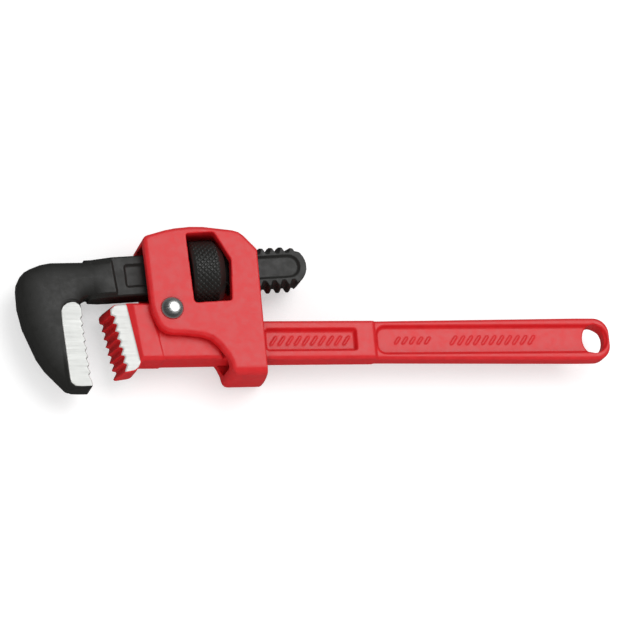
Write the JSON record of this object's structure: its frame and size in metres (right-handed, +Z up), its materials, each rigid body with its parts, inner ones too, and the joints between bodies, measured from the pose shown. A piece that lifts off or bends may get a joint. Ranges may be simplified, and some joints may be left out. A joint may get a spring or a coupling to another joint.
{
  "type": "pipe wrench",
  "caption": "Stillson-pattern pipe wrench: forged handle with toothed heel jaw, rocking frame on a rivet, threaded hook jaw and knurled adjusting nut.",
  "frame": {"origin": "under the middle of the bounding box, on the plane the wrench lies on", "axes": "+X along the handle from the jaws to the hanging eye, +Y from the handle towards the threaded shank, +Z up through the wrench's thickness, along the pivot rivet"},
  "size_m": [0.3076, 0.0814, 0.0344],
  "materials": {
    "red_paint": "semi-gloss enamel over a forging, jaw sides ground bright",
    "frame_paint": "semi-gloss enamel",
    "black_oxide": "black oxide over a forging, jaw sides ground bright",
    "dark_knurl": "black oxide, diamond knurled",
    "bright_steel": "polished",
    "spring_steel": "oiled"
  },
  "bodies": {
    "handle_body": {"handle": "red_paint", "flat_spring": "spring_steel", "flat_spring_rivet": "bright_steel"},
    "frame_body": {"frame": "frame_paint", "pivot_rivet": "bright_steel", "coil_spring": "spring_steel"},
    "jaw_body": {"hook_jaw": "black_oxide"},
    "nut_body": {"adjusting_nut": "dark_knurl"}
  },
  "joints": [
    {"name": "frame_pivot", "type": "hinge", "parent": "handle_body", "child": "frame_body", "pos_m": [-0.07879, -0.00237, 0.0172], "axis": [0, 0, 1], "range_deg": [-4, 5], "stiffness_Nm_per_rad": 3, "deforming": ["coil_spring"]},
    {"name": "jaw_slide", "type": "slide", "parent": "frame_body", "child": "jaw_body", "axis": [0.998, 0.0633, 0], "range_m": [-0.04, 0.0095]},
    {"name": "nut_spin", "type": "hinge", "parent": "frame_body", "child": "nut_body", "pos_m": [-0.05846, 0.01963, 0.0172], "axis": [0.998, 0.0633, 0], "continuous": true}
  ],
  "couplings": [
    {"joint": "nut_spin", "follows": "jaw_slide", "rad_per_m": -1236.8}
  ]
}
